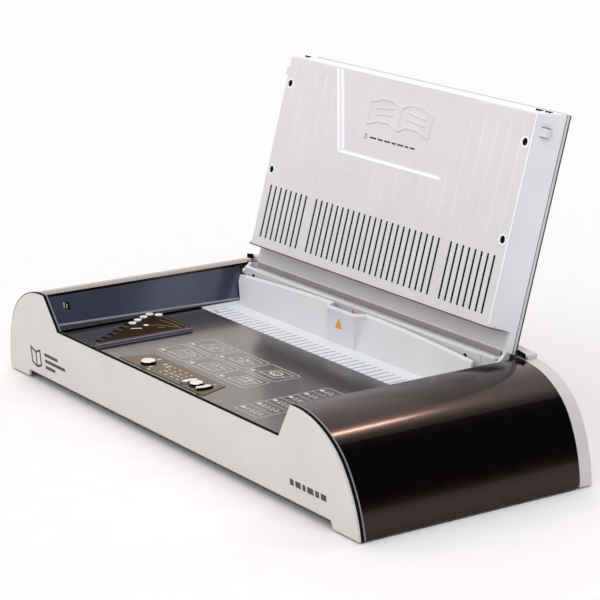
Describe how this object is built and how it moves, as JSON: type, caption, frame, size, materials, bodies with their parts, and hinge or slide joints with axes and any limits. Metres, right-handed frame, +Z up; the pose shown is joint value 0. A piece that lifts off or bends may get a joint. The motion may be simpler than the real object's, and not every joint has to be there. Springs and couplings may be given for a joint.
{
  "type": "desktop thermal binding machine",
  "caption": "Low wide desktop thermal binding machine with crowned dark end covers, a leaning hinged lid, a heated document slot with a sliding guide, keys and a stepped spine gauge.",
  "frame": {"origin": "on the table, under the middle of the machine's bounding box with its lid open", "axes": "+X along the machine to the user's right, +Y from the front panel to the rear, +Z up"},
  "size_m": [0.531, 0.2657, 0.2726],
  "materials": {
    "dark_pan": "fine grained",
    "rubber": "matte",
    "steel": "satin",
    "warm_grey": "smooth satin",
    "bronze": "glossy metallic dark bronze",
    "white": "smooth satin",
    "label_film": "smooth film",
    "silver": "satin silver",
    "circuit_board": "lacquered",
    "dark_plastic": "moulded",
    "lamp": "clear lens",
    "grey_plastic": "moulded",
    "brown_film": "smooth film",
    "aluminium": "machined",
    "ceramic": "unglazed ceramic"
  },
  "bodies": {
    "base": {"base_pan": "dark_pan", "rubber_feet": "rubber", "case_screws": "steel", "front_panel": "warm_grey", "left_end_cover": "bronze", "right_end_cover": "bronze", "rear_cover": "white", "deck_panel": "bronze", "control_label": "label_film", "control_board": "circuit_board", "tact_switches": "dark_plastic", "indicator_lamps": "lamp", "board_posts": "dark_plastic", "gauge_plinth": "grey_plastic", "gauge_plate": "brown_film", "guide_rails": "steel", "rail_stands": "grey_plastic", "rear_guide": "white", "heater_plate": "aluminium", "heating_elements": "ceramic", "element_clamp": "steel", "heater_insulators": "ceramic", "thermostat": "steel", "thermal_fuse": "ceramic", "power_board": "circuit_board", "power_board_posts": "grey_plastic", "transformer": "steel", "relay": "dark_plastic", "buzzer": "dark_plastic", "power_inlet": "dark_plastic", "lid_switch": "dark_plastic", "lid_switch_bracket": "grey_plastic", "hinge_pins": "steel", "hinge_bracket_left": "grey_plastic", "hinge_bracket_right": "grey_plastic"},
    "lid": {"lid_outer_cover": "bronze", "lid_backing": "white", "lid_inner_tray": "white", "hinge_bushes": "grey_plastic", "lid_pegs": "white", "lid_screws": "steel"},
    "guide": {"front_guide": "white", "guide_runners": "dark_plastic"},
    "power_key": {"power_key": "silver"},
    "start_key": {"start_key": "silver"},
    "left_arrow_key": {"left_arrow_key": "silver"},
    "right_arrow_key": {"right_arrow_key": "silver"}
  },
  "joints": [
    {"name": "lid_hinge", "type": "hinge", "parent": "base", "child": "lid", "pos_m": [0, 0.0699, 0.0799], "axis": [1, 0, 0], "range_deg": [0, 105]},
    {"name": "guide_slide", "type": "slide", "parent": "base", "child": "guide", "axis": [0, -1, 0], "range_m": [0, 0.009], "stiffness_N_per_m": 250, "springref_m": -0.004},
    {"name": "power_key_press", "type": "slide", "parent": "base", "child": "power_key", "axis": [0, 0, -1], "range_m": [0, 0.001], "stiffness_N_per_m": 600, "springref_m": -0.0005},
    {"name": "start_key_press", "type": "slide", "parent": "base", "child": "start_key", "axis": [0, 0, -1], "range_m": [0, 0.001], "stiffness_N_per_m": 600, "springref_m": -0.0005},
    {"name": "left_arrow_key_press", "type": "slide", "parent": "base", "child": "left_arrow_key", "axis": [0, 0, -1], "range_m": [0, 0.001], "stiffness_N_per_m": 600, "springref_m": -0.0005},
    {"name": "right_arrow_key_press", "type": "slide", "parent": "base", "child": "right_arrow_key", "axis": [0, 0, -1], "range_m": [0, 0.001], "stiffness_N_per_m": 600, "springref_m": -0.0005}
  ]
}
